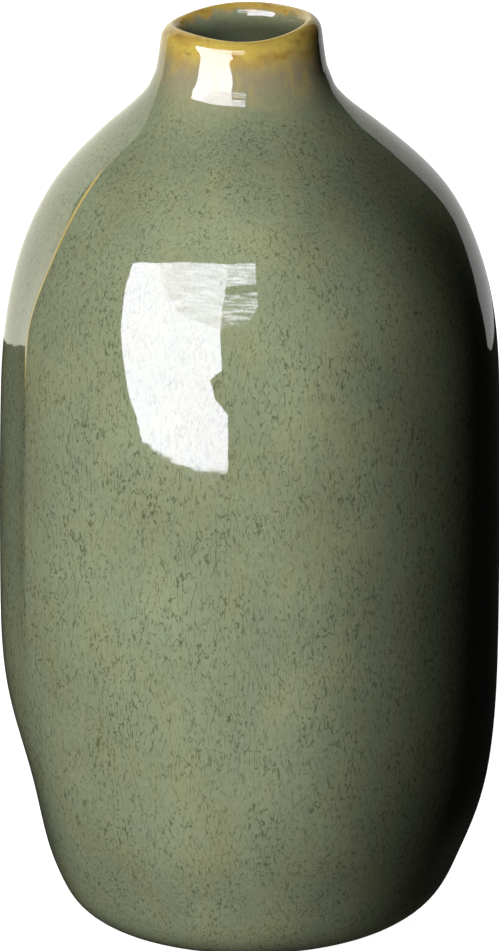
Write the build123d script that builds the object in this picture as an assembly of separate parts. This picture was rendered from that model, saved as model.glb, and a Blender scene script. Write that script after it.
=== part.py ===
"""Stoneware bottle vase: a hand-shaped clay body and neck on a bare foot ring, under three glaze coats.

Millimetres. The origin is the centre of the foot's resting face, +Z is up and -Y is the front.
Angles run anticlockwise seen from above, with 0 on +X, 180 on the left and 270 on the front.
"""

from math import cos, exp, radians, sin
import os

from build123d import *

# Driving dimensions
CROWN = 233.0              # mean height of the lip's crown
GLAZE_LINE = 3.0           # the foot ring is bare clay up to here
GLAZE = 0.6                # thickness of every glaze coat
NECK_SHIFT = -2.0          # the neck leans this far to the left of the foot

# Unevenness left by the hand, in millimetres and degrees
RIDGE_ANGLE = 208.6        # of the upright ridge on the left
RIDGE_BOW = 3.0            # how far it bows towards the left side below the shoulder
FLAT_DEPTH = 1.6           # of the flat paddled beside the ridge
FLAT_SPAN = 36.0           # from the ridge to the flat's far edge
DENT_DEPTH = 5.4           # of the broad dent low on the left
DENT_HEIGHT = 37.0
DENT_ANGLE = 178.0
HEEL_DEPTH = 1.1           # how much deeper the dent is just above the foot
HEEL_HEIGHT = 11.0
OUT_OF_ROUND = 0.5

# The glazed surface as (radius, height): up the outside, over the lip and down to the floor.
# The amber coat covers the lip, from the end of the outside to the start of the inside.
OUTSIDE = [
    (39.4, GLAZE_LINE), (44.2, 5.4), (48.2, 9.0), (53.0, 18.0), (58.4, 32.0), (61.6, 50.0),
    (62.6, 72.0), (62.6, 100.0), (62.4, 130.0), (60.6, 160.0), (55.5, 178.0), (49.1, 190.0),
    (40.1, 200.0), (32.3, 207.0), (26.2, 212.4), (22.0, 218.2), (20.6, 224.0),
]
LIP = [(20.0, 228.6), (19.2, 231.5), (17.1, CROWN), (15.4, 231.6), (14.8, 228.6)]
INSIDE = [
    (14.9, 226.0), (16.2, 217.5), (20.0, 210.5), (26.0, 204.6), (34.0, 197.4), (42.8, 187.0),
    (49.2, 174.4), (54.0, 157.0), (56.2, 130.0), (56.4, 100.0), (56.2, 74.0), (55.2, 53.0),
    (52.0, 36.0), (47.2, 23.0), (42.0, 15.4), (36.6, 11.4), (30.0, 9.9), (22.0, 9.5),
]
POINTS_AROUND = 60         # points in a section of the form
STEPS_ALONG = 30           # sections in each stretch, less one

# The joint between body and neck: a step in the clay wall, higher on the outside
STEP_RADIUS = 28.4
STEP_INNER_HEIGHT = 204.5
STEP_OUTER_HEIGHT = 208.5

# Foot ring
FOOT_RADIUS = 31.0         # outer edge of the resting face
RECESS_RADIUS = 24.0       # wall of the recess inside the ring
FOOT_EDGE = 0.7            # rounding of the two edges of the resting face

BEYOND = 80.0              # larger than the vase's radius, for cutting tools
MARGIN = 10.0              # how far they reach above the crown


def smooth(value, low, high):
    """0 at low and 1 at high, with a level start and end."""
    share = min(1.0, max(0.0, (value - low) / (high - low)))
    return share * share * (3 - 2 * share)


def bell(value, centre, width):
    """1 at centre, fading to both sides."""
    return exp(-(((value - centre) / width) ** 2))


def ridge_angle(height):
    """The ridge is upright but for its bow."""
    return RIDGE_ANGLE - RIDGE_BOW * bell(height, 162, 14)


def paddled_flat(angle, height):
    """Depth of the flat beside the ridge: abrupt at the ridge, fading towards the back."""
    share = (ridge_angle(height) - angle) / FLAT_SPAN
    if not 0 < share < 1:
        return 0.0
    across = 27 / 4 * share * (1 - share) ** 2     # peaks at 1
    return FLAT_DEPTH * across * smooth(height, 198, 172) * smooth(height, 52, 120)


def dent(angle, height):
    """Depth of the broad dent low on the left side."""
    depth = DENT_DEPTH * bell(height, DENT_HEIGHT, 22) + HEEL_DEPTH * bell(height, HEEL_HEIGHT, 7)
    return depth * bell(angle, DENT_ANGLE, 38)


def oval(angle, height):
    """The wall is slightly out of round between foot and shoulder."""
    return OUT_OF_ROUND * sin(radians(2 * angle)) * smooth(height, 20, 80) * smooth(height, 195, 150)


def lip_wave(angle, height):
    """Rise of the lip above its mean, which fades out down the neck."""
    tilt = 0.8 * cos(radians(angle - 16))
    wave = 0.3 * cos(radians(2 * angle - 50)) + 0.45 * cos(radians(3 * angle + 68))
    return (tilt + wave) * smooth(height, 211, 229)


def ring(radius, height):
    """One closed section of the form. All sections share one even spacing, so that they loft cleanly."""
    spacing = [i / POINTS_AROUND for i in range(POINTS_AROUND + 1)]
    points = []
    for share in spacing[:-1]:
        angle = 360.0 * share
        r = radius + oval(angle, height) - paddled_flat(angle, height) - dent(angle, height)
        x = r * cos(radians(angle)) + NECK_SHIFT * smooth(height, 182, 216)
        y = r * sin(radians(angle))
        points.append((x, y, height + lip_wave(angle, height)))
    return Wire([Edge.make_spline(points, periodic=True, parameters=spacing)])


def runs(depth):
    """The sections of the glazed surface moved into the clay by depth, in three runs with shared ends."""
    outline = Spline(*OUTSIDE, *LIP, *INSIDE)
    amber_start = outline.param_at_point(Vector(*OUTSIDE[-1]))
    amber_end = outline.param_at_point(Vector(*INSIDE[0]))
    result = []
    for low, high in ((0, amber_start), (amber_start, amber_end), (amber_end, 1)):
        run = []
        for i in range(STEPS_ALONG + 1):
            share = low + (high - low) * i / STEPS_ALONG
            point = outline @ share
            along = outline % share
            rise = along.X if share > 0 else 0     # the coat's foot stays on the glaze line
            run.append(ring(point.X - depth * along.Y, point.Y + depth * rise))
        result.append(run)
    return result


def skin(run):
    """The smooth surface through a run of sections."""
    return Shell.make_loft(run).face()


def band(section, other):
    """The narrow straight face between two sections."""
    return Shell.make_loft([section, other], ruled=True).face()


def clay():
    """Floor, wall and neck as one solid."""
    below = runs(GLAZE)
    return Solid(Shell([*map(skin, below), Face(below[0][0]), Face(below[-1][-1])]))


def coats():
    """The outer, lip and inner coats, each between the glazed surface and the clay."""
    above = runs(0)
    below = runs(GLAZE)
    floor = [Face(above[-1][-1]), Face(below[-1][-1])]
    solids = []
    for surface, contact in zip(above, below):
        start = band(surface[0], contact[0])
        end = floor if surface is above[-1] else [band(surface[-1], contact[-1])]
        solids.append(Solid(Shell([skin(surface), skin(contact), start, *end])))
    return solids


def disc(radius, low, high, shift=0.0):
    """An upright cylinder from one height to another."""
    return Pos(shift, 0, low) * Cylinder(radius, high - low, align=(Align.CENTER, Align.CENTER, Align.MIN))


def foot_ring():
    """The bare ring that the vase stands on, swept up to the glaze line outside and recessed inside."""
    clay_radius = OUTSIDE[0][0] - GLAZE
    flats = Polyline(
        (clay_radius, GLAZE_LINE),
        (RECESS_RADIUS, GLAZE_LINE),
        (RECESS_RADIUS, 0),
        (FOOT_RADIUS, 0),
    )
    sweep = Spline((FOOT_RADIUS, 0), (clay_radius, GLAZE_LINE), tangents=[(1, 0.5), (2, 1)])
    solid = revolve(Plane.XZ * make_face([*flats.edges(), sweep]), Axis.Z)
    return fillet(solid.edges().filter_by(GeomType.CIRCLE).group_by(Axis.Z)[0], FOOT_EDGE)


def neck_tool():
    """Everything above the stepped joint."""
    outer = disc(BEYOND, STEP_OUTER_HEIGHT, CROWN + MARGIN)
    return outer + disc(STEP_RADIUS, STEP_INNER_HEIGHT, CROWN + MARGIN, NECK_SHIFT)


def solids():
    body = clay()
    outer, lip, inner = coats()
    return {
        "foot_ring": foot_ring(),
        "clay_body": body - neck_tool(),
        "clay_neck": body & neck_tool(),
        "outer_glaze": outer,
        "inner_glaze": inner,
        "lip_glaze": lip,
    }


if __name__ == "__main__":
    os.makedirs("parts", exist_ok=True)
    for name, solid in solids().items():
        export_step(solid, f"parts/{name}.step")
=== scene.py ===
"""Looks of the stoneware bottle vase: three smooth glaze coats around the packed clay, on a pale floor.

The form is worked in millimetres, as the CAD has it, and turned to metres when a mesh is made. +Z is up and
-Y is the front. Angles run anticlockwise seen from above, with 0 on +X, 180 on the left and 270 on the front.
The stage is in metres and degrees.
"""

import math

import bpy
import numpy as np
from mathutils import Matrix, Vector

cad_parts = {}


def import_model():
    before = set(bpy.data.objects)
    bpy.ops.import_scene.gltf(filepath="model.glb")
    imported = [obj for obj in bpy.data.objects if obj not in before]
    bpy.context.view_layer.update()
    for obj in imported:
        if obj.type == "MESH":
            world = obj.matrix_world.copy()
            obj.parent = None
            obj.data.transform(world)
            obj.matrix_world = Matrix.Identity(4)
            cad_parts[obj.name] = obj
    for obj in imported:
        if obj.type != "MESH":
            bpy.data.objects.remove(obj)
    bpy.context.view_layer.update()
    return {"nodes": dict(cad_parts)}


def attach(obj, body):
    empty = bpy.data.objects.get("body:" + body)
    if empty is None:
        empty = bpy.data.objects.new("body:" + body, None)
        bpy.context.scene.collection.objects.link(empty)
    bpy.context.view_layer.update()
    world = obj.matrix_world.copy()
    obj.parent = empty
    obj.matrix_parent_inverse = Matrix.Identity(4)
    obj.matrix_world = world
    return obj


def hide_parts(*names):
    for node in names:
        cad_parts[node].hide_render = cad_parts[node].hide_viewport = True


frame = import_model()

MM = 0.001

# The vase's driving dimensions, the same as in the CAD
CROWN = 233.0
GLAZE_LINE = 3.0
GLAZE = 0.6
NECK_SHIFT = -2.0
RIDGE_ANGLE = 208.6
RIDGE_BOW = 3.0
FLAT_DEPTH = 1.6
FLAT_SPAN = 36.0
DENT_DEPTH = 5.4
DENT_HEIGHT = 37.0
DENT_ANGLE = 178.0
HEEL_DEPTH = 1.1
HEEL_HEIGHT = 11.0
OUT_OF_ROUND = 0.5
OUTSIDE = [
    (39.4, GLAZE_LINE), (44.2, 5.4), (48.2, 9.0), (53.0, 18.0), (58.4, 32.0), (61.6, 50.0),
    (62.6, 72.0), (62.6, 100.0), (62.4, 130.0), (60.6, 160.0), (55.5, 178.0), (49.1, 190.0),
    (40.1, 200.0), (32.3, 207.0), (26.2, 212.4), (22.0, 218.2), (20.6, 224.0),
]
LIP = [(20.0, 228.6), (19.2, 231.5), (17.1, CROWN), (15.4, 231.6), (14.8, 228.6)]
INSIDE = [
    (14.9, 226.0), (16.2, 217.5), (20.0, 210.5), (26.0, 204.6), (34.0, 197.4), (42.8, 187.0),
    (49.2, 174.4), (54.0, 157.0), (56.2, 130.0), (56.4, 100.0), (56.2, 74.0), (55.2, 53.0),
    (52.0, 36.0), (47.2, 23.0), (42.0, 15.4), (36.6, 11.4), (30.0, 9.9), (22.0, 9.5),
]
FLOOR_RADIUS, FLOOR_HEIGHT = INSIDE[-1]

# The wall's relief, in millimetres: gentle waves, one broad fullness and the neck's throwing rings
WAVE_DEPTH = 0.12
WAVE_LENGTHS = (110, 240)
FULLNESS_DEPTH = 0.3
FULLNESS_HEIGHT = 114
RING_DEPTH = 0.02
RING_LENGTHS = (7, 15)

# Fineness of the coats' meshes
AROUND = 480               # points in a ring of the glazed face
COARSE = 8                 # of them to one point of the hidden face against the clay
OUTER_ROWS = 190
LIP_ROWS = 60
INNER_ROWS = 110
FLOOR_ROWS = 10
HIDDEN_ROWS = 24
CENTRE_RADIUS = 0.4        # of the last ring around the centre of the floor
RIDGE_ROUNDING = 0.02      # of the flat's span
NO_RIDGE = 99.0            # stands for the distance from the ridge on the inside, which has none


# ---------------------------------------------------------------- form

def smooth(value, low, high):
    """0 at low and 1 at high, with a level start and end."""
    share = np.clip((value - low) / (high - low), 0, 1)
    return share * share * (3 - 2 * share)


def bell(value, centre, width):
    """1 at centre, fading to both sides."""
    return np.exp(-(((value - centre) / width) ** 2))


def ridge_angle(height):
    """The ridge is upright but for its bow."""
    return RIDGE_ANGLE - RIDGE_BOW * bell(height, 162, 14)


def paddled_flat(angle, height):
    """Depth of the flat beside the ridge: abrupt at the ridge, fading towards the back."""
    share = (ridge_angle(height) - angle) / FLAT_SPAN
    share = np.minimum((share + np.sqrt(share**2 + RIDGE_ROUNDING**2)) / 2, 1)
    across = 27 / 4 * share * (1 - share) ** 2
    return FLAT_DEPTH * across * smooth(height, 198, 172) * smooth(height, 52, 120)


def dent(angle, height):
    """Depth of the broad dent low on the left side."""
    depth = DENT_DEPTH * bell(height, DENT_HEIGHT, 22) + HEEL_DEPTH * bell(height, HEEL_HEIGHT, 7)
    return depth * bell(angle, DENT_ANGLE, 38)


def oval(angle, height):
    """The wall is slightly out of round between foot and shoulder."""
    return OUT_OF_ROUND * np.sin(np.radians(2 * angle)) * smooth(height, 20, 80) * smooth(height, 195, 150)


def lip_wave(angle, height):
    """Rise of the lip above its mean, which fades out down the neck."""
    tilt = 0.8 * np.cos(np.radians(angle - 16))
    wave = 0.3 * np.cos(np.radians(2 * angle - 50)) + 0.45 * np.cos(np.radians(3 * angle + 68))
    return (tilt + wave) * smooth(height, 211, 229)


def end_slope(at, points):
    """Slope at the first of four points of the cubic through them."""
    return np.polyfit(at - at[0], points, 3)[2]


class Outline:
    """The smooth curve through the outline's points, measured by the chords between them."""

    def __init__(self, points):
        self.points = np.array(points)
        steps = np.linalg.norm(np.diff(self.points, axis=0), axis=1)
        self.at = np.concatenate([[0], np.cumsum(steps)])
        chords = np.diff(self.points, axis=0) / steps[:, None]
        count = len(self.points)
        system = np.eye(count)
        target = np.zeros((count, 2))
        target[0] = end_slope(self.at[:4], self.points[:4])
        target[-1] = end_slope(self.at[:-5:-1], self.points[:-5:-1])
        for i in range(1, count - 1):
            before, after = steps[i - 1], steps[i]
            system[i, i - 1:i + 2] = after, 2 * (before + after), before
            target[i] = 3 * (after * chords[i - 1] + before * chords[i])
        self.slopes = np.linalg.solve(system, target)

    def at_points(self, at):
        """(radius, height) at each distance along the outline."""
        i = np.clip(np.searchsorted(self.at, at, side="right") - 1, 0, len(self.at) - 2)
        step = self.at[i + 1] - self.at[i]
        t = ((at - self.at[i]) / step)[:, None]
        step = step[:, None]
        start = (1 + 2 * t) * (1 - t) ** 2 * self.points[i] + t * (1 - t) ** 2 * step * self.slopes[i]
        end = t * t * (3 - 2 * t) * self.points[i + 1] + t * t * (t - 1) * step * self.slopes[i + 1]
        return start + end


def waves(angle, along, seed, count, most_turns, lengths):
    """A gentle random relief, mostly within -1 and 1: the sum of waves around and along the wall.

    No wave has more than most_turns crests around the wall. lengths: the shortest and the longest along it.
    """
    rng = np.random.default_rng(seed)
    total = np.zeros(np.broadcast_shapes(angle.shape, along.shape))
    for _ in range(count):
        turns = rng.integers(0, most_turns + 1)
        length = rng.uniform(*lengths)
        start = rng.uniform(0, 2 * math.pi)
        side = rng.choice([-1, 1])
        total += np.sin(np.radians(turns * angle) + side * 2 * math.pi * along / length + start)
    return total / math.sqrt(count)


def relief(angle, along, height):
    """How far the hand-made wall stands off the plain form."""
    body = smooth(height, 8, 30) * smooth(-along, 4, 30)
    neck = smooth(-along, 4, 12) * smooth(height, 190, 206)
    uneven = WAVE_DEPTH * waves(angle, along, seed=5, count=8, most_turns=4, lengths=WAVE_LENGTHS)
    fullness = FULLNESS_DEPTH * bell(height, FULLNESS_HEIGHT, 22)
    rings = RING_DEPTH * waves(angle, along, seed=9, count=5, most_turns=2, lengths=RING_LENGTHS)
    return (uneven + fullness) * body + rings * neck


class Wall:
    """The glazed surface as rows of points: up the outside, over the lip, down the inside to the centre.

    along is the distance from the lip's crown along the wall, negative on the outside. ridge is the distance
    from the ridge around the wall.
    """

    def __init__(self):
        outline = Outline(OUTSIDE + LIP + INSIDE)
        amber_start = outline.at[len(OUTSIDE) - 1]
        amber_end = outline.at[len(OUTSIDE) + len(LIP)]
        lip_heights = [height for _, height in LIP]
        crown = outline.at[len(OUTSIDE) + lip_heights.index(CROWN)]
        at = np.concatenate([
            np.linspace(0, amber_start, OUTER_ROWS)[:-1],
            np.linspace(amber_start, amber_end, LIP_ROWS)[:-1],
            np.linspace(amber_end, outline.at[-1], INNER_ROWS),
        ])
        floor_radii = np.linspace(FLOOR_RADIUS, CENTRE_RADIUS, FLOOR_ROWS + 1)[1:]
        line = np.vstack([outline.at_points(at), [(radius, FLOOR_HEIGHT) for radius in floor_radii]])
        steps = np.linalg.norm(np.diff(line, axis=0), axis=1)
        travelled = np.concatenate([[0], np.cumsum(steps)])
        self.along = (travelled - travelled[np.argmin(np.abs(at - crown))])[:, None]
        self.lip_start = OUTER_ROWS - 1
        self.lip_end = OUTER_ROWS + LIP_ROWS - 2
        self.last = len(line) - 1
        self.angle = (360 * np.arange(AROUND) / AROUND)[None, :]
        self.radius = line[:, :1]
        self.height = line[:, 1:]
        base = self.place()
        self.points = base + self.normals_of(base) * relief(self.angle, self.along, self.height)[..., None]
        self.normals = self.normals_of(self.points)
        off_ridge = (self.angle - ridge_angle(self.height)) * np.radians(self.radius)
        self.ridge = np.where(self.along < 0, off_ridge, NO_RIDGE)

    def place(self):
        """The wall's points, with its uneven form. The floor is evened towards its centre."""
        radius = self.radius + oval(self.angle, self.height)
        radius = radius - paddled_flat(self.angle, self.height) - dent(self.angle, self.height)
        fade = smooth(self.radius, 0, FLOOR_RADIUS)
        radius = self.radius * (1 - fade) + radius * fade
        turn = np.radians(self.angle)
        x = radius * np.cos(turn) + NECK_SHIFT * smooth(self.height, 182, 216)
        y = radius * np.sin(turn)
        z = self.height + lip_wave(self.angle, self.height)
        return np.stack([x, y, z], axis=-1)

    def normals_of(self, points):
        """Unit normals, out of the clay."""
        up = np.gradient(points, self.along[:, 0], axis=0)
        around = np.roll(points, -1, axis=1) - np.roll(points, 1, axis=1)
        normals = np.cross(around, up)
        return normals / np.linalg.norm(normals, axis=-1, keepdims=True)


# ---------------------------------------------------------------- meshes

def ring_pairs(count):
    """Each point of a ring with the next one."""
    first = np.arange(count)
    return first, (first + 1) % count


def grid_faces(rows, count, start, turned):
    """The quads of a tube of rows x count points, numbered from start. turned swaps the side they face."""
    left, right = ring_pairs(count)
    faces = []
    for row in range(rows - 1):
        low = start + row * count
        high = low + count
        for a, b in zip(left, right):
            face = (low + a, low + b, high + b, high + a)
            faces.append(face[::-1] if turned else face)
    return faces


def band_faces(fine, coarse, turned):
    """The faces between the rim of the glazed face and that of the hidden one, from their first points."""
    faces = []
    for i in range(AROUND // COARSE):
        run = [fine + (COARSE * i + k) % AROUND for k in range(COARSE + 1)]
        face = run + [coarse + (i + 1) % (AROUND // COARSE), coarse + i]
        faces.append(face[::-1] if turned else face)
    return faces


def fan(rim, count, centre, turned):
    """The triangles between a rim's points, numbered from rim, and a centre point."""
    left, right = ring_pairs(count)
    if turned:
        left, right = right, left
    return [(rim + a, rim + b, centre) for a, b in zip(left, right)]


class CoatShell:
    """One glaze coat between two rows of the wall, as a thin closed shell.

    A fine glazed face and a coarse hidden face against the clay are joined by a flat band at each end, or by
    their centres where the coat runs to the middle of the floor.
    """

    def __init__(self, wall, first, last):
        hidden_count = AROUND // COARSE
        picked = np.unique(np.linspace(first, last, HIDDEN_ROWS).round().astype(int))
        glazed = wall.points[first:last + 1]
        hidden = (wall.points - GLAZE * wall.normals)[picked][:, ::COARSE]
        if first == 0:
            hidden[0, :, 2] = GLAZE_LINE       # the coat's foot is level
        self.points = self.joined(glazed, hidden)
        self.normals = self.joined(wall.normals[first:last + 1], -wall.normals[picked][:, ::COARSE])
        self.along = np.concatenate([
            np.repeat(wall.along[first:last + 1], AROUND),
            np.repeat(wall.along[picked], hidden_count),
        ])
        self.ridge = np.concatenate([
            wall.ridge[first:last + 1].ravel(),
            wall.ridge[picked][:, ::COARSE].ravel(),
        ])

        rows = last - first + 1
        rim = (rows - 1) * AROUND
        hidden_start = rows * AROUND
        hidden_rim = hidden_start + (len(picked) - 1) * hidden_count
        self.smooth_faces = grid_faces(rows, AROUND, 0, False)
        self.smooth_faces += grid_faces(len(picked), hidden_count, hidden_start, True)
        self.flat_faces = band_faces(0, hidden_start, True)
        if last == wall.last:
            centre = len(self.points)
            self.add_centre(glazed[-1].mean(axis=0), (0, 0, 1), rim)
            self.add_centre(hidden[-1].mean(axis=0), (0, 0, -1), rim)
            self.smooth_faces += fan(rim, AROUND, centre, False)
            self.smooth_faces += fan(hidden_rim, hidden_count, centre + 1, True)
        else:
            self.flat_faces += band_faces(rim, hidden_rim, False)

    def joined(self, glazed, hidden):
        """The vectors of both faces in one list."""
        return np.vstack([glazed.reshape(-1, 3), hidden.reshape(-1, 3)])

    def add_centre(self, point, normal, like):
        """A point at the middle of the floor, with the values of another point."""
        self.points = np.vstack([self.points, point])
        self.normals = np.vstack([self.normals, normal])
        self.along = np.append(self.along, self.along[like])
        self.ridge = np.append(self.ridge, self.ridge[like])


def coat(node, slot, wall, first, last):
    """One glaze coat as a piece, in place of the CAD's own."""
    shell = CoatShell(wall, first, last)
    mesh = bpy.data.meshes.new(node + "_coat")
    faces = [[int(v) for v in face] for face in shell.smooth_faces + shell.flat_faces]
    mesh.from_pydata((shell.points * MM).tolist(), [], faces)
    mesh.shade_smooth()
    corner_normals = np.array([shell.normals[loop.vertex_index] for loop in mesh.loops])
    for polygon in mesh.polygons[len(shell.smooth_faces):]:
        corner_normals[polygon.loop_start:polygon.loop_start + polygon.loop_total] = polygon.normal
    mesh.normals_split_custom_set(corner_normals.tolist())
    for attribute, values in (("along", shell.along), ("ridge", shell.ridge)):
        layer = mesh.attributes.new(attribute, "FLOAT", "POINT")
        layer.data.foreach_set("value", values.astype(np.float32))
    mesh.materials.append(glaze(slot))

    piece = bpy.data.objects.new(node + "_coat", mesh)
    bpy.context.scene.collection.objects.link(piece)
    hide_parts(node)
    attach(piece, "root")


# ---------------------------------------------------------------- materials

class Nodes:
    """A short way to write a material's nodes."""

    def __init__(self, name):
        self.material = bpy.data.materials.new(name)
        self.material.use_nodes = True
        self.tree = self.material.node_tree
        self.shader = self.tree.nodes["Principled BSDF"]

    def add(self, kind, **settings):
        node = self.tree.nodes.new("ShaderNode" + kind)
        for key, value in settings.items():
            setattr(node, key, value)
        return node

    def join(self, value, socket):
        """Links a socket, or sets a plain value."""
        if isinstance(value, bpy.types.NodeSocket):
            self.tree.links.new(value, socket)
        else:
            socket.default_value = value

    def math(self, operation, a, b=0.0):
        node = self.add("Math", operation=operation)
        self.join(a, node.inputs[0])
        self.join(b, node.inputs[1])
        return node.outputs[0]

    def step(self, value, low, high):
        """0 below low and 1 above high; low may be the larger."""
        node = self.add("MapRange", interpolation_type="SMOOTHSTEP")
        self.join(value, node.inputs["Value"])
        self.join(low, node.inputs["From Min"])
        self.join(high, node.inputs["From Max"])
        return node.outputs["Result"]

    def mix(self, share, a, b, blend="MIX"):
        node = self.add("Mix", data_type="RGBA", blend_type=blend)
        self.join(share, node.inputs[0])
        self.join(a, node.inputs[6])
        self.join(b, node.inputs[7])
        return node.outputs[2]

    def attribute(self, name):
        """A value that the mesh carries at each point."""
        return self.add("Attribute", attribute_name=name).outputs["Fac"]

    def place(self, size):
        """Object coordinates in millimetres, divided by size along x, y and z."""
        coordinates = self.add("TexCoord").outputs["Object"]
        node = self.add("VectorMath", operation="MULTIPLY")
        self.join(coordinates, node.inputs[0])
        node.inputs[1].default_value = [1 / (MM * length) for length in size]
        return node.outputs[0]

    def noise(self, size, detail=2.0, roughness=0.5, shift=0.0):
        """Noise with features of about the given size in millimetres, and a mean of 0.5."""
        size = size if isinstance(size, tuple) else (size,) * 3
        node = self.add("TexNoise", noise_dimensions="4D")
        self.join(self.place(size), node.inputs["Vector"])
        node.inputs["W"].default_value = shift
        node.inputs["Scale"].default_value = 1.0
        node.inputs["Detail"].default_value = detail
        node.inputs["Roughness"].default_value = roughness
        return node.outputs["Fac"]

    def finish(self, colour, roughness, ior, height, depth):
        """Sets the shader: colour, gloss, and a bump from height that is depth millimetres deep."""
        self.join(colour, self.shader.inputs["Base Color"])
        self.shader.inputs["Roughness"].default_value = roughness
        self.shader.inputs["IOR"].default_value = ior
        bump = self.add("Bump")
        self.join(height, bump.inputs["Height"])
        bump.inputs["Distance"].default_value = depth * MM
        self.join(bump.outputs["Normal"], self.shader.inputs["Normal"])
        return self.material


def rgb(red, green, blue):
    """An opaque colour."""
    return (red, green, blue, 1.0)


# Gloss, bumps and colours of the glaze and the clay
GLAZE_ROUGHNESS = 0.035
GLAZE_IOR = 1.52
GLAZE_BUMP = 0.007         # millimetres
CLAY_ROUGHNESS = 0.85
CLAY_IOR = 1.45
CLAY_BUMP = 0.08           # millimetres
TEAL = rgb(0.234, 0.272, 0.170)
SAGE = rgb(0.248, 0.278, 0.167)
OLIVE = rgb(0.263, 0.278, 0.156)
FISSURE = rgb(0.075, 0.088, 0.045)
MAUVE = rgb(0.330, 0.270, 0.165)
AMBER = rgb(0.560, 0.410, 0.085)
OCHRE = rgb(0.360, 0.200, 0.045)
GOLD = rgb(0.640, 0.470, 0.150)
BURNT = rgb(0.120, 0.060, 0.020)
CLAY = rgb(0.420, 0.330, 0.240)
CLAY_DARK = rgb(0.300, 0.225, 0.155)


def fissures(nodes):
    """Short dark upright cracks: the level lines of upright noise, broken up by finer noise."""
    total = None
    for shift in (1.0, 5.0, 9.0):
        level = nodes.math("SUBTRACT", nodes.noise((1.2, 1.2, 4.8), 0.0, 0.5, shift), 0.5)
        line = nodes.step(nodes.math("ABSOLUTE", level), 0.034, 0.008)
        broken = nodes.noise((1.0, 1.0, 1.5), 1.0, 0.5, shift + 2)
        line = nodes.math("MULTIPLY", line, nodes.step(broken, 0.45, 0.57))
        total = line if total is None else nodes.math("MAXIMUM", total, line)
    patchy = nodes.step(nodes.noise(12.0, 2.0), 0.32, 0.62)
    return nodes.math("MULTIPLY", total, nodes.math("ADD", nodes.math("MULTIPLY", patchy, 0.45), 0.55))


def green_colour(nodes, along):
    """Mottled green with dark cracks, which end below the lip."""
    broad = nodes.noise((13.0, 13.0, 20.0), 2.0, 0.55)
    streaks = nodes.noise((4.0, 4.0, 16.0), 3.0, 0.6, 3.0)
    patch = nodes.math("ADD", nodes.math("MULTIPLY", broad, 0.65), nodes.math("MULTIPLY", streaks, 0.35))
    green = nodes.mix(nodes.step(patch, 0.40, 0.52), TEAL, SAGE)
    green = nodes.mix(nodes.step(patch, 0.50, 0.64), green, OLIVE)
    crack = nodes.math("MULTIPLY", fissures(nodes), nodes.step(along, -12.0, -26.0))
    return nodes.mix(nodes.math("MULTIPLY", crack, 0.76), green, FISSURE)


def lip_colour(nodes, along, colour):
    """Mauve below the lip and amber over it, with ochre and burnt patches in the amber."""
    drift = nodes.math("SUBTRACT", nodes.noise((4.0, 4.0, 10.0), 3.0, 0.6, 7.0), 0.5)
    near = nodes.math("ADD", along, nodes.math("MULTIPLY", drift, 8.0))
    mauve = nodes.math("MULTIPLY", nodes.step(near, -21.0, -8.0), nodes.step(near, 4.0, 1.5))
    amber = nodes.math("MULTIPLY", nodes.step(near, -11.0, -3.0), nodes.step(near, 3.0, 1.0))
    colour = nodes.mix(nodes.math("MULTIPLY", mauve, 0.85), colour, MAUVE)

    drops = nodes.step(nodes.noise((2.5, 2.5, 16.0), 2.0, 0.5, 17.0), 0.50, 0.66)
    runs = nodes.math("MULTIPLY", mauve, drops)
    colour = nodes.mix(nodes.math("MAXIMUM", amber, nodes.math("MULTIPLY", runs, 0.45)), colour, AMBER)

    ochre = nodes.step(nodes.noise((7.0, 7.0, 3.0), 2.0, 0.5, 15.0), 0.40, 0.70)
    ochre = nodes.math("MAXIMUM", ochre, nodes.math("MULTIPLY", nodes.step(along, -1.0, 2.0), 0.6))
    ochre = nodes.math("MULTIPLY", ochre, amber)
    colour = nodes.mix(nodes.math("MULTIPLY", ochre, 0.75), colour, OCHRE)

    specks = nodes.step(nodes.noise((2.6, 2.6, 1.2), 3.0, 0.6, 11.0), 0.60, 0.72)
    burnt = nodes.math("MULTIPLY", amber, specks)
    return nodes.mix(nodes.math("MULTIPLY", burnt, 0.6), colour, BURNT)


def ridge_colour(nodes, along, colour):
    """A gold line where the glaze breaks on the shoulder's stretch of the ridge."""
    ridge = nodes.math("ABSOLUTE", nodes.attribute("ridge"))
    line = nodes.math("MULTIPLY", nodes.step(ridge, 0.75, 0.20), nodes.step(along, -105.0, -92.0))
    line = nodes.math("MULTIPLY", line, nodes.step(along, -40.0, -46.0))
    return nodes.mix(nodes.math("MULTIPLY", line, 0.9), colour, GOLD)


def tone_and_painted_inside_shade(nodes, along, colour):
    """Lighter and darker by fine and broad noise, and painted shade: the glaze inside the vase is made
    darker.
    """
    fine = nodes.math("MULTIPLY", nodes.noise((1.1, 1.1, 1.7), 3.0, 0.6), 0.40)
    broad = nodes.math("MULTIPLY", nodes.noise((22.0, 22.0, 30.0), 1.0, 0.5, 21.0), 0.50)
    shade = nodes.math("ADD", nodes.math("ADD", fine, broad), 0.57)
    # painted shade: the glaze is darkened inside the mouth, where shade falls in the hollow
    inside = nodes.math("MULTIPLY", nodes.step(along, 1.5, 8.0), 0.7)
    shade = nodes.math("MULTIPLY", shade, nodes.math("SUBTRACT", 1.0, inside))
    grey = nodes.add("CombineColor")
    for channel in grey.inputs:
        nodes.join(shade, channel)
    return nodes.mix(1.0, colour, grey.outputs[0], "MULTIPLY")


def glaze(name):
    """Glossy sage glaze with fine fissures, which breaks to amber and brown over the lip and the ridge, with
    painted shade inside the vase.
    """
    nodes = Nodes(name)
    along = nodes.attribute("along")
    colour = green_colour(nodes, along)
    colour = lip_colour(nodes, along, colour)
    colour = ridge_colour(nodes, along, colour)
    colour = tone_and_painted_inside_shade(nodes, along, colour)
    return nodes.finish(colour, GLAZE_ROUGHNESS, GLAZE_IOR, nodes.noise(2.6, 1.0), GLAZE_BUMP)


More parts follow.
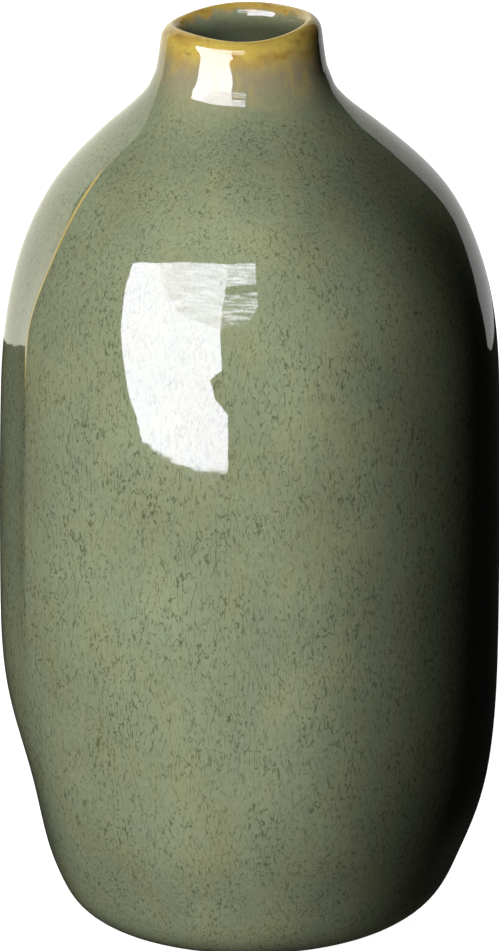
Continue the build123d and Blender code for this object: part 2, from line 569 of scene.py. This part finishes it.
def bare_clay():
    """Dry fired stoneware with fine grog."""
    nodes = Nodes("bare_clay")
    colour = nodes.mix(nodes.step(nodes.noise(5.0, 4.0, 0.6), 0.35, 0.65), CLAY_DARK, CLAY)
    grog = nodes.step(nodes.noise(0.5, 2.0), 0.62, 0.70)
    colour = nodes.mix(nodes.math("MULTIPLY", grog, 0.5), colour, BURNT)
    return nodes.finish(colour, CLAY_ROUGHNESS, CLAY_IOR, nodes.noise(0.6, 3.0, 0.6), CLAY_BUMP)


# ---------------------------------------------------------------- stage

MIDDLE = Vector((0, 0, 0.13))              # of the cards and lights
CARD_DISTANCE = 1.6
LIGHT_DISTANCE = 1.5
LIGHT_SIZE = 0.4
KEY_AZIMUTH = -20
FLAG_DISTANCE = 0.17       # from the vase's axis towards the key light
FLOOR_GAP = 0.0003         # under the foot, so that the two faces don't coincide
FLOOR_REACH = 6.0
FLOOR_GREY = 0.3
FLOOR_GLOW = 0.98
MIRRORED_WORLD = 0.006     # brightness of the world where the camera doesn't see it
AIM = Vector((0, 0, 0.11576))
CAMERA_DISTANCE = 2.2
CAMERA_ELEVATION = 17.5
CAMERA_LENS = 333.1        # millimetres
CAMERA_REACH = 20.0
WHITE = rgb(1.0, 1.0, 1.0)
BLACK = rgb(0.0, 0.0, 0.0)
WARM = rgb(1.0, 0.99, 0.84)
COOL = rgb(0.88, 0.86, 1.0)


def towards(azimuth, elevation, distance):
    """A point in that direction from the middle of the vase. Azimuth 0 is the front and 90 the right."""
    a, e = math.radians(azimuth), math.radians(elevation)
    way = Vector((math.sin(a) * math.cos(e), -math.cos(a) * math.cos(e), math.sin(e)))
    return MIDDLE + way * distance


def aim(thing, target):
    """Turns a camera or a light towards a point."""
    thing.rotation_euler = (target - thing.location).to_track_quat("-Z", "Y").to_euler()


def stage_piece(name, points, material):
    """A flat piece of the stage with the given corners."""
    mesh = bpy.data.meshes.new(name)
    mesh.from_pydata(points, [], [tuple(range(len(points)))])
    mesh.materials.append(material)
    piece = bpy.data.objects.new(name, mesh)
    bpy.context.scene.collection.objects.link(piece)
    return piece


def glow(name, strength, colour, streaks):
    """Pure light. streaks: the share lost between its level brushed streaks."""
    nodes = Nodes(name)
    emission = nodes.add("Emission")
    emission.inputs["Color"].default_value = colour
    if streaks > 0:
        gaps = nodes.step(nodes.noise((260.0, 260.0, 15.0), 3.0, 0.6), 0.62, 0.44)
        strength = nodes.math("SUBTRACT", strength, nodes.math("MULTIPLY", gaps, strength * streaks))
    nodes.join(strength, emission.inputs["Strength"])
    nodes.join(emission.outputs[0], nodes.tree.nodes["Material Output"].inputs["Surface"])
    return nodes.material


def card(name, outline, strength, colour, streaks=0.0):
    """A bright panel seen only in reflections. Its outline is in (azimuth, elevation)."""
    points = [towards(azimuth, elevation, CARD_DISTANCE) for azimuth, elevation in outline]
    piece = stage_piece(name, points, glow(name, strength, colour, streaks))
    piece.visible_camera = False
    piece.visible_diffuse = False
    piece.visible_shadow = False


def soft_light(name, azimuth, elevation, power):
    """A round light that isn't seen in reflections."""
    light = bpy.data.lights.new(name, "AREA")
    light.shape = "DISK"
    light.size = LIGHT_SIZE
    light.energy = power
    lamp = bpy.data.objects.new(name, light)
    bpy.context.scene.collection.objects.link(lamp)
    lamp.location = towards(azimuth, elevation, LIGHT_DISTANCE)
    aim(lamp, MIDDLE)
    lamp.visible_glossy = False


def flag():
    """A dark upright board close to the vase, which shades its right side from the key light.

    Its outline is in (distance to the right of the vase's axis, height).
    """
    outline = [
        (0.018, -0.1), (0.034, 0.1), (0.044, 0.14), (0.044, 0.23), (0.022, 0.275), (0.012, 0.5),
        (0.35, 0.5), (0.35, -0.1),
    ]
    a = math.radians(KEY_AZIMUTH)
    to_light = Vector((math.sin(a), -math.cos(a), 0))
    sideways = Vector((math.cos(a), math.sin(a), 0))
    foot = to_light * FLAG_DISTANCE
    points = [foot + sideways * across + Vector((0, 0, height)) for across, height in outline]
    nodes = Nodes("flag")
    nodes.shader.inputs["Base Color"].default_value = BLACK
    piece = stage_piece("flag", points, nodes.material)
    piece.visible_camera = False
    piece.visible_diffuse = False
    piece.visible_glossy = False


def floor():
    """A floor that is nearly white by itself. It is clear from below, so that the underside shows."""
    nodes = Nodes("floor")
    shader = nodes.shader
    shader.inputs["Base Color"].default_value = rgb(FLOOR_GREY, FLOOR_GREY, FLOOR_GREY)
    shader.inputs["Roughness"].default_value = 1.0
    shader.inputs["Specular IOR Level"].default_value = 0.0
    shader.inputs["Emission Color"].default_value = WHITE
    shader.inputs["Emission Strength"].default_value = FLOOR_GLOW
    clear = nodes.add("BsdfTransparent")
    sides = nodes.add("MixShader")
    nodes.join(nodes.add("NewGeometry").outputs["Backfacing"], sides.inputs[0])
    nodes.join(shader.outputs[0], sides.inputs[1])
    nodes.join(clear.outputs[0], sides.inputs[2])
    nodes.join(sides.outputs[0], nodes.tree.nodes["Material Output"].inputs["Surface"])
    corners = [
        Vector((x * FLOOR_REACH, y * FLOOR_REACH, -FLOOR_GAP))
        for x, y in ((-1, -1), (1, -1), (1, 1), (-1, 1))
    ]
    piece = stage_piece("floor", corners, nodes.material)
    piece.visible_diffuse = False
    piece.visible_glossy = False
    piece.visible_shadow = False


def world():
    """White behind the vase, and dark where the vase mirrors it."""
    scene = bpy.context.scene
    scene.world = bpy.data.worlds.new("studio")
    scene.world.use_nodes = True
    tree = scene.world.node_tree
    background = tree.nodes["Background"]
    seen = tree.nodes.new("ShaderNodeLightPath").outputs["Is Camera Ray"]
    scale = tree.nodes.new("ShaderNodeMapRange")
    scale.inputs["To Min"].default_value = MIRRORED_WORLD
    scale.inputs["To Max"].default_value = 1.0
    tree.links.new(seen, scale.inputs["Value"])
    tree.links.new(scale.outputs["Result"], background.inputs["Strength"])
    background.inputs["Color"].default_value = WHITE


def camera():
    """A long lens in front of the vase, looking a little down on it."""
    data = bpy.data.cameras.new("camera")
    data.lens = CAMERA_LENS
    data.clip_end = CAMERA_REACH
    eye = bpy.data.objects.new("camera", data)
    bpy.context.scene.collection.objects.link(eye)
    elevation = math.radians(CAMERA_ELEVATION)
    eye.location = AIM + CAMERA_DISTANCE * Vector((0, -math.cos(elevation), math.sin(elevation)))
    aim(eye, AIM)
    bpy.context.scene.camera = eye


def window_cards():
    """The window: one plain part, with three brushed parts above it and at its upper right."""
    window = [
        (-69.7, 30.6), (-67.8, 22.5), (-63.6, 12), (-54.1, -5.8), (-47.6, -12.3), (-43.6, -13),
        (-36.3, -13.7), (-29.2, -14.2), (-17.8, -14.6), (-7.5, -14.7), (-7.5, -7.1), (-13.5, -3.6),
        (-16.2, 2), (-10.9, 5.3), (-13.2, 18.3), (-36, 22), (-48, 29), (-54.3, 35.7),
    ]
    brushed = [(-54.3, 35.7), (-48, 29), (-36, 22), (-13.2, 18.3), (-12.4, 30), (-12.6, 42.9), (-30.4, 41.4)]
    corner = [(-12.6, 42.9), (-12.5, 33), (4.5, 34), (4.4, 44.3)]
    low_corner = [(-12.4, 30), (-13.2, 18.3), (0, 20), (5.6, 26), (5.2, 31)]
    card("window", window, 17.2, COOL)
    card("window_brushed", brushed, 17.2, COOL, 0.3)
    card("window_corner", corner, 16.5, COOL, 0.6)
    card("window_low_corner", low_corner, 12.0, COOL, 0.95)


def side_panels():
    """Two dim panels behind the vase, for the long reflections on its sides."""
    left = [
        (-130, -11.5), (-149, -12.3), (-153.5, -13), (-161.4, -14), (-180, -15.8), (-180, 65), (-155, 65),
        (-130, 65),
    ]
    right = [(139, -6), (143, -12), (149, -13), (180, -13), (180, 50), (150, 40), (148, 20), (143, 4)]
    card("left_panel", left, 1.1, WARM)
    card("right_panel", right, 0.6, WHITE)


def lights():
    """What the glaze mirrors, and the soft light that falls on the vase."""
    window_cards()
    side_panels()
    soft_light("key", KEY_AZIMUTH, 25, 20)
    soft_light("fill", -26, 5, 7.2)
    soft_light("back_right", 166, 30, 10)
    soft_light("back_left", 200, 30, 10)
    soft_light("under", 180, -70, 3)
    flag()


# ---------------------------------------------------------------- scene

def main():
    """The stage, the three coats, and the clay that they lie on."""
    camera()
    world()
    floor()
    lights()
    wall = Wall()
    coat("outer_glaze", "green_glaze", wall, 0, wall.lip_start)
    coat("lip_glaze", "amber_glaze", wall, wall.lip_start, wall.lip_end)
    coat("inner_glaze", "inner_green_glaze", wall, wall.lip_end, wall.last)
    clay = bare_clay()
    for name in ("foot_ring", "clay_body", "clay_neck"):
        node = frame["nodes"][name]
        node.data.materials.clear()
        node.data.materials.append(clay)
    bpy.context.scene.view_settings.view_transform = "Standard"


main()
